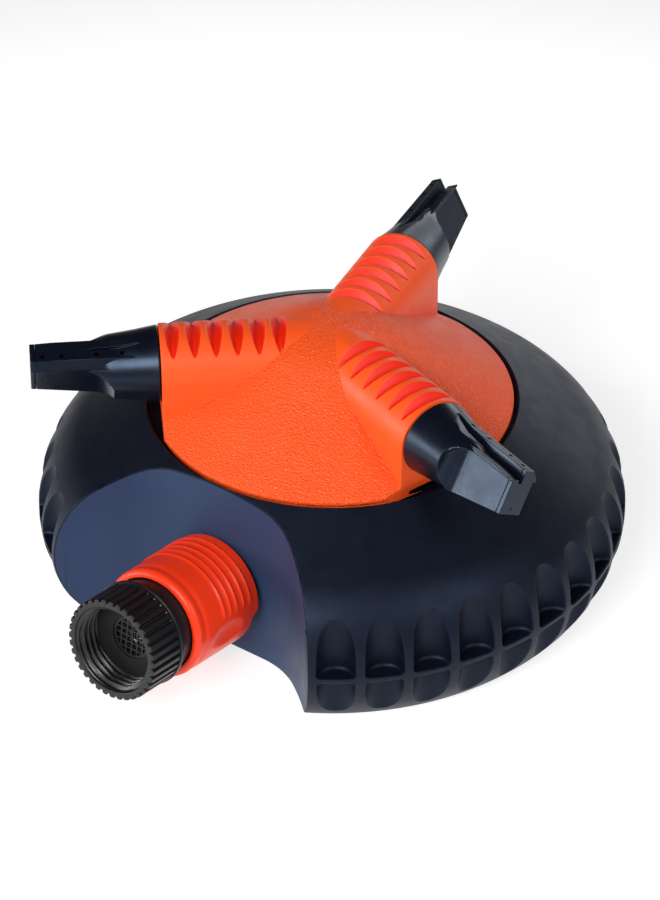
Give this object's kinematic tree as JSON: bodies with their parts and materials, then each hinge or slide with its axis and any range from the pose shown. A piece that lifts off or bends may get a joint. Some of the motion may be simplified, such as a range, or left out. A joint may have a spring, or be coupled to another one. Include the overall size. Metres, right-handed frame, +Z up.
{
  "type": "rotating lawn sprinkler",
  "caption": "Dome-based lawn sprinkler with a freely spinning rotor, adjustable jet nozzles and a swivelling quick hose connector with a sliding release collar.",
  "frame": {"origin": "rotor axis at ground level, under the middle of the dome", "axes": "+Z up along the rotor axis; the hose inlet points along -Y and rises a few degrees"},
  "size_m": [0.1808, 0.2008, 0.086],
  "materials": {
    "dome_plastic": "satin fine-grained moulded plastic, near black with a navy sheen",
    "nozzle_plastic": "satin moulded plastic, near black",
    "connector_plastic": "satin moulded plastic, black",
    "rotor_orange": "orange-red plastic, leather-grained on the cone and smooth on the sockets",
    "collar_orange": "orange-red plastic, slightly glossy",
    "acetal": "natural acetal",
    "seal_rubber": "black nitrile rubber",
    "stainless": "stainless wire and screws"
  },
  "bodies": {
    "base": {"base_shell": "dome_plastic", "water_manifold": "dome_plastic", "manifold_screws": "stainless", "inlet_washer": "seal_rubber", "inlet_nipple": "connector_plastic", "nipple_o_ring": "seal_rubber", "lower_thrust_washer": "acetal", "riser_clip": "stainless", "upper_thrust_washer": "acetal"},
    "rotor": {"rotor_cap": "rotor_orange", "rotor_hub": "nozzle_plastic", "hub_cover": "nozzle_plastic", "hub_bush": "acetal", "rotary_seal": "seal_rubber", "cap_screws": "stainless", "arm_o_rings": "seal_rubber"},
    "nozzle_1": {"nozzle_1": "nozzle_plastic", "nozzle_cap_1": "nozzle_plastic"},
    "nozzle_2": {"nozzle_2": "nozzle_plastic", "nozzle_cap_2": "nozzle_plastic"},
    "nozzle_3": {"nozzle_3": "nozzle_plastic", "nozzle_cap_3": "nozzle_plastic"},
    "connector": {"connector_body": "connector_plastic", "lock_claws": "acetal", "tail_piece": "connector_plastic", "stop_plunger": "acetal", "plunger_o_ring": "seal_rubber", "plunger_spring": "stainless", "collar_spring": "stainless"},
    "collar": {"collar": "collar_orange"},
    "hose_nut": {"hose_nut": "connector_plastic", "hose_washer": "seal_rubber", "inlet_filter": "connector_plastic"}
  },
  "joints": [
    {"name": "rotor_spin", "type": "hinge", "parent": "base", "child": "rotor", "pos_m": [0, 0, 0.0733], "axis": [0, 0, 1], "continuous": true},
    {"name": "nozzle_1_tilt", "type": "hinge", "parent": "rotor", "child": "nozzle_1", "pos_m": [-0.01091, 0.05135, 0.0733], "axis": [-0.2079, 0.9781, 0], "range_deg": [-26, 34]},
    {"name": "nozzle_2_tilt", "type": "hinge", "parent": "rotor", "child": "nozzle_2", "pos_m": [-0.03902, -0.03513, 0.0733], "axis": [-0.7431, -0.6691, 0], "range_deg": [-26, 34]},
    {"name": "nozzle_3_tilt", "type": "hinge", "parent": "rotor", "child": "nozzle_3", "pos_m": [0.04993, -0.01622, 0.0733], "axis": [0.9511, -0.309, 0], "range_deg": [-26, 34]},
    {"name": "connector_swivel", "type": "hinge", "parent": "base", "child": "connector", "pos_m": [0, -0.07432, 0.02365], "axis": [0, -0.991, 0.134], "continuous": true},
    {"name": "collar_slide", "type": "slide", "parent": "connector", "child": "collar", "axis": [0, -0.991, 0.134], "range_m": [0, 0.0045], "stiffness_N_per_m": 1200, "springref_m": -0.008, "deforming": ["collar_spring"]},
    {"name": "hose_nut_turn", "type": "hinge", "parent": "connector", "child": "hose_nut", "pos_m": [0, -0.0991, 0.027], "axis": [0, -0.991, 0.134], "continuous": true}
  ]
}
